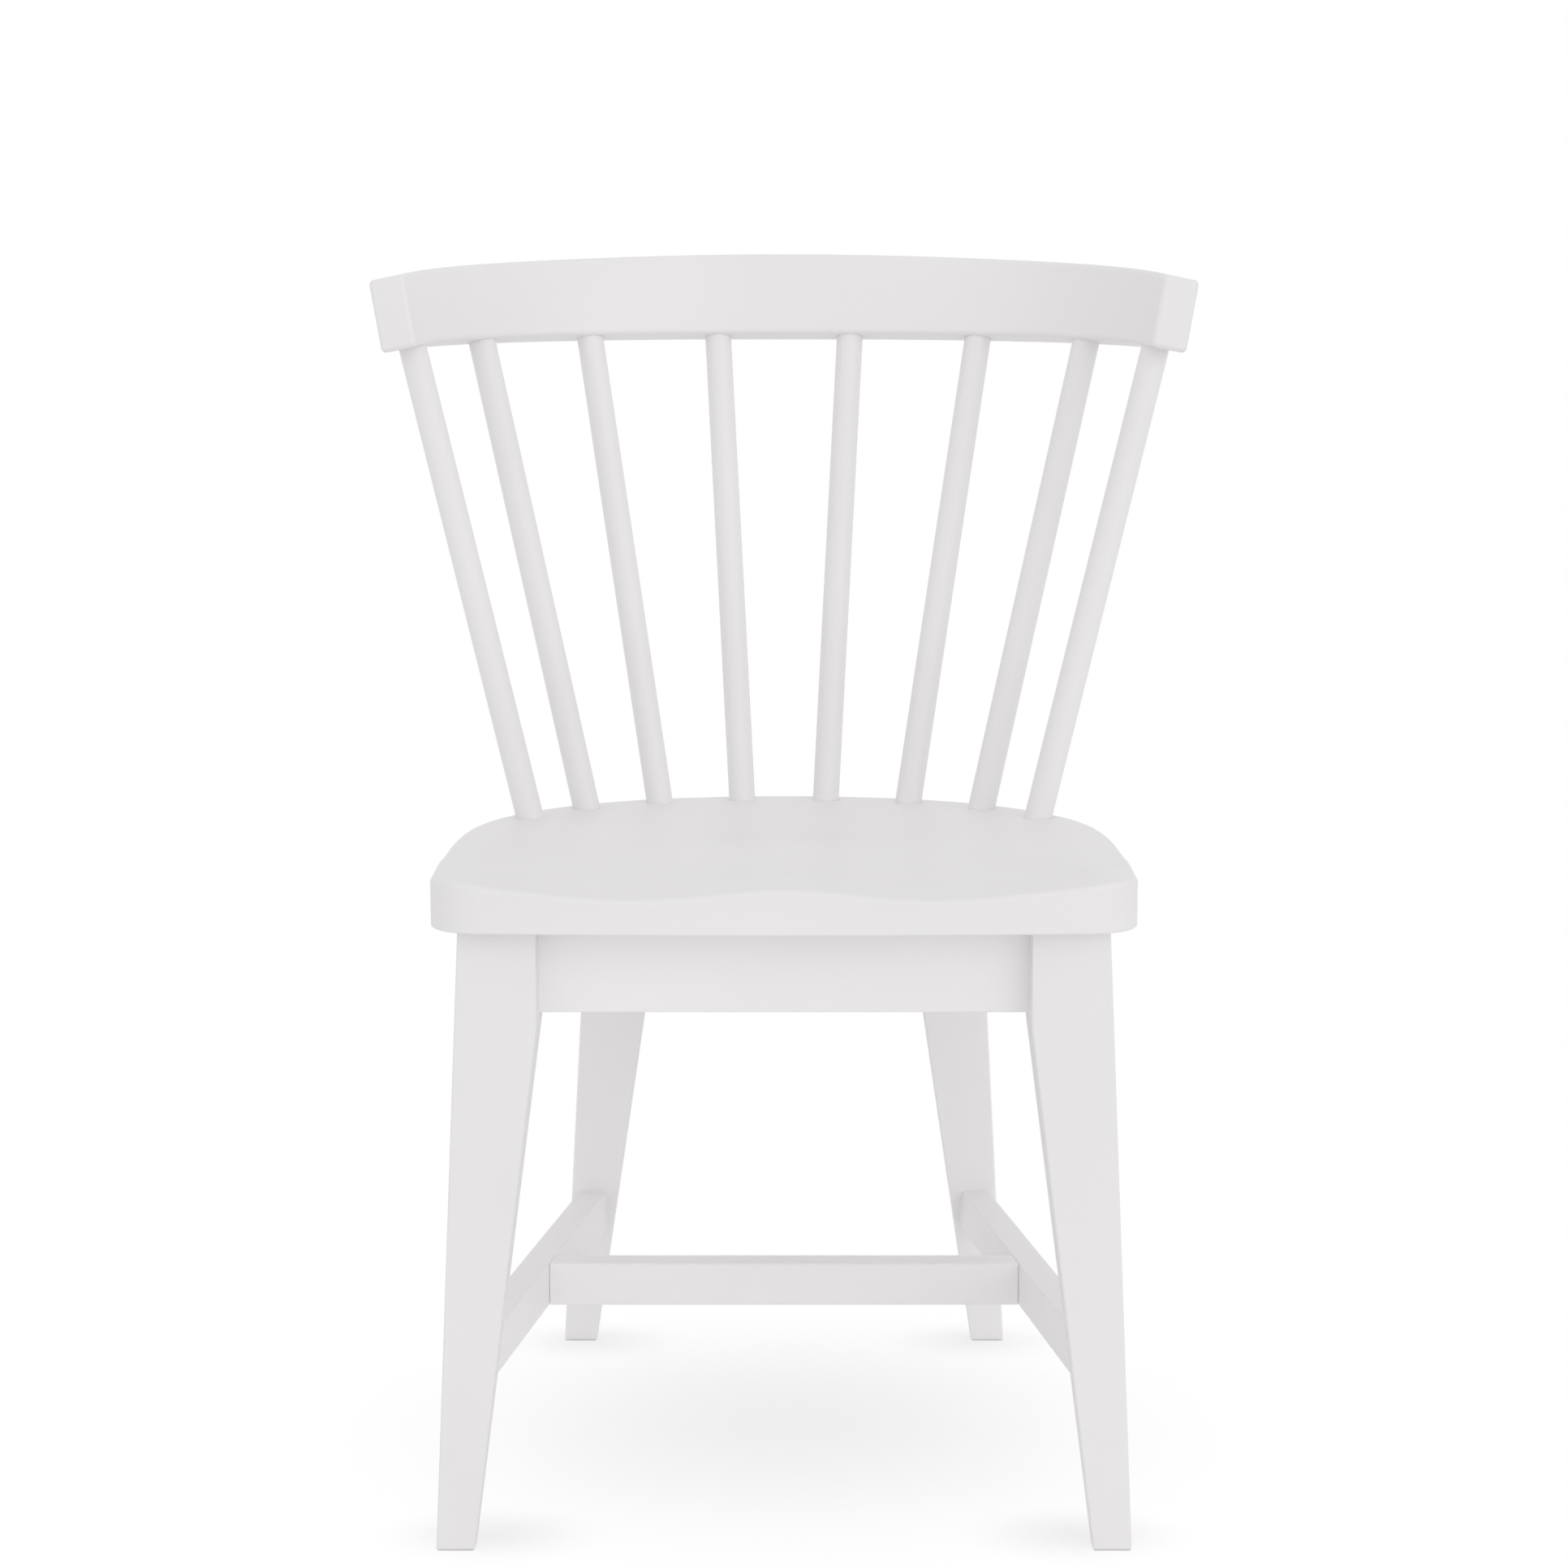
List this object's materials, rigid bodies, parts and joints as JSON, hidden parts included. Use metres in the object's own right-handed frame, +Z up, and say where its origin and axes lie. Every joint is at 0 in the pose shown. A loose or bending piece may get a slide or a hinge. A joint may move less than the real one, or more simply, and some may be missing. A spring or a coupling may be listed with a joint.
{
  "type": "side chair",
  "caption": "Armless dining side chair with a saddle seat, a curved crest rail on round spindles, and tapered square legs joined by aprons and an H stretcher.",
  "frame": {"origin": "middle of the chair's overall box, on the floor", "axes": "+Z up from the floor, -Y towards the front edge of the seat, +X to the right of someone who looks at the chair's front; the chair is mirror-symmetric about X = 0"},
  "size_m": [0.6196, 0.5105, 0.8954],
  "materials": {
    "painted_wood": "satin white paint over solid wood",
    "bare_wood": "planed, unpainted beech",
    "screw_steel": "bright zinc plating",
    "glide_plastic": "pale grey nylon"
  },
  "bodies": {
    "root": {"seat": "painted_wood", "crest_rail": "painted_wood", "spindle_1": "painted_wood", "spindle_2": "painted_wood", "spindle_3": "painted_wood", "spindle_4": "painted_wood", "spindle_5": "painted_wood", "spindle_6": "painted_wood", "spindle_7": "painted_wood", "spindle_8": "painted_wood", "front_leg_left": "painted_wood", "front_leg_right": "painted_wood", "rear_leg_left": "painted_wood", "rear_leg_right": "painted_wood", "front_apron": "painted_wood", "rear_apron": "painted_wood", "side_apron_left": "painted_wood", "side_apron_right": "painted_wood", "side_stretcher_left": "painted_wood", "side_stretcher_right": "painted_wood", "cross_stretcher": "painted_wood", "front_corner_block_left": "bare_wood", "front_corner_block_right": "bare_wood", "rear_corner_block_left": "bare_wood", "rear_corner_block_right": "bare_wood", "corner_block_screws": "screw_steel", "seat_screws": "screw_steel", "front_glide_left": "glide_plastic", "front_glide_right": "glide_plastic", "rear_glide_left": "glide_plastic", "rear_glide_right": "glide_plastic"}
  },
  "joints": []
}
